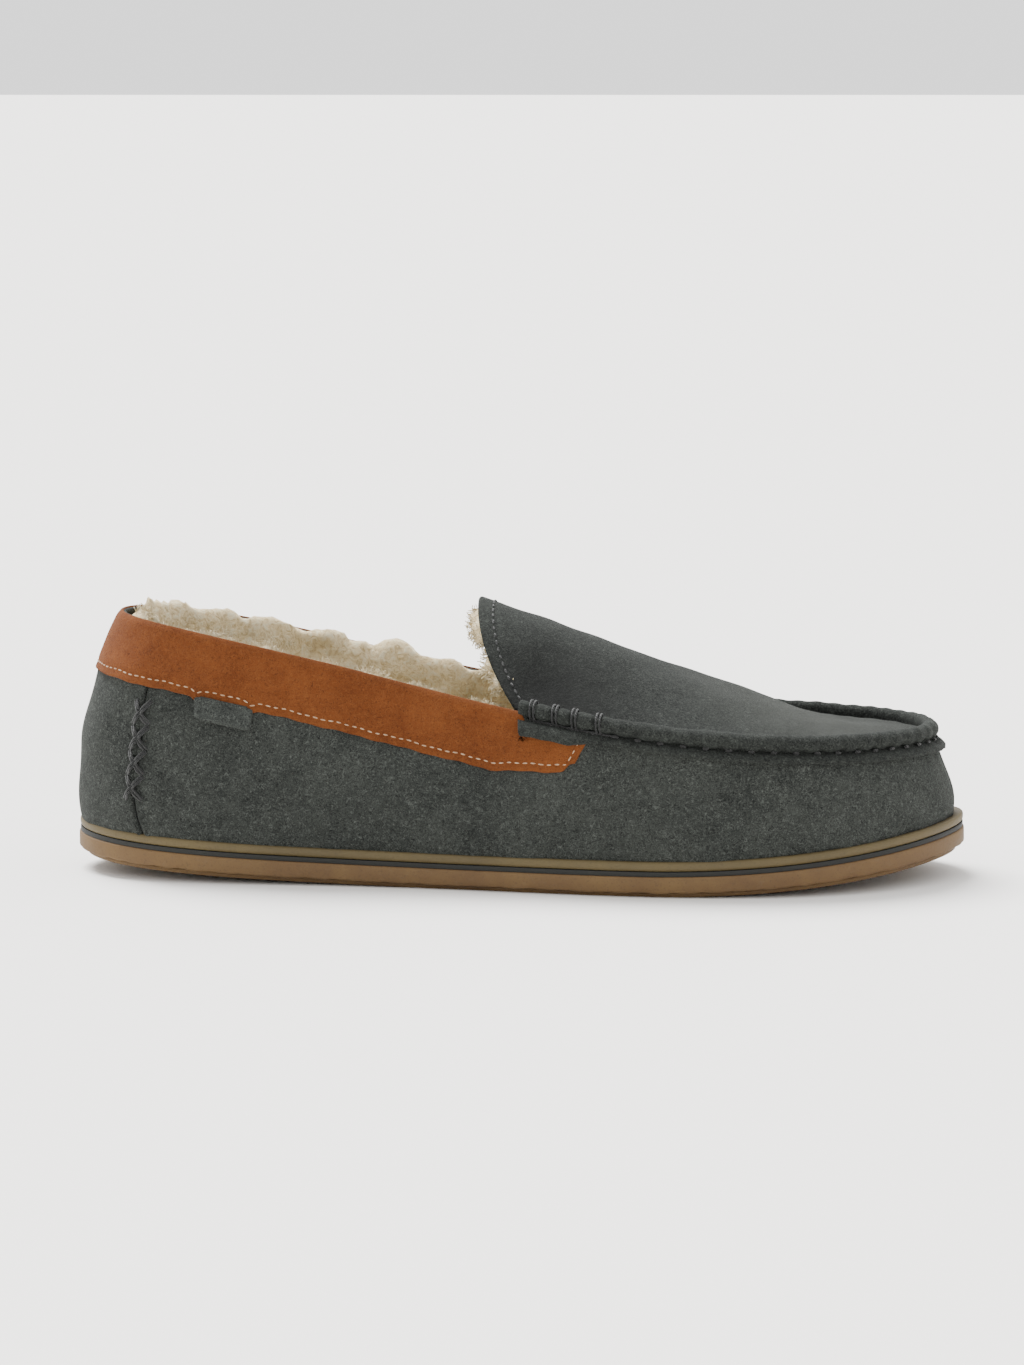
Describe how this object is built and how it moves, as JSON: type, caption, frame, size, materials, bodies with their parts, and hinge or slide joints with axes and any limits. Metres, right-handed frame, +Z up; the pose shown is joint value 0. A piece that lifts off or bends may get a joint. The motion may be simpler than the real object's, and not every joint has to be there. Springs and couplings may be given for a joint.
{
  "type": "house slipper",
  "caption": "Suede moccasin house slipper for the right foot, with a tan collar band, a cross-stitched heel, sheepskin lining and a layered rubber sole.",
  "frame": {"origin": "middle of the sole's outline, on the floor that the sole stands on", "axes": "+X from the heel to the toe, +Z up, -Y towards the outer side of the right foot"},
  "size_m": [0.2956, 0.1062, 0.0921],
  "materials": {
    "outsole_rubber": "matt tan rubber, speckled",
    "stripe_rubber": "matt dark grey rubber",
    "top_band_rubber": "matt khaki rubber",
    "board": "matt fibreboard",
    "felt": "grey brown felt",
    "foam": "matt foam",
    "fleece": "cream sheepskin pile",
    "grey_suede": "dark olive grey suede, brushed",
    "tan_leather": "tan suede, brushed",
    "stiffener": "matt thermoplastic sheet",
    "pale_thread": "waxed pale thread",
    "dark_thread": "waxed dark grey thread"
  },
  "bodies": {
    "slipper": {"outsole": "outsole_rubber", "sole_stripe": "stripe_rubber", "sole_top_band": "top_band_rubber", "lasting_strip": "grey_suede", "bottom_filler": "felt", "insole_board": "board", "foam_pad": "foam", "fleece_footbed": "fleece", "side_wrap": "grey_suede", "heel_panel": "grey_suede", "apron": "grey_suede", "apron_welt": "grey_suede", "collar_band": "tan_leather", "heel_counter": "stiffener", "toe_puff": "stiffener", "quarter_lining": "fleece", "wrap_lining": "fleece", "apron_lining": "fleece", "collar_topstitch": "pale_thread", "welt_stitches": "dark_thread", "welt_bar_tacks": "dark_thread", "heel_cross_stitch_outer": "dark_thread", "heel_cross_stitch_inner": "dark_thread", "tongue_topstitch": "dark_thread"},
    "side_tab": {"side_tab": "grey_suede"}
  },
  "joints": [
    {"name": "tab_flap", "type": "hinge", "parent": "slipper", "child": "side_tab", "pos_m": [-0.0936, -0.03545, 0.059], "axis": [-0.9776, 0.0701, 0.1986], "range_deg": [0, 100], "stiffness_Nm_per_rad": 0.00002}
  ]
}
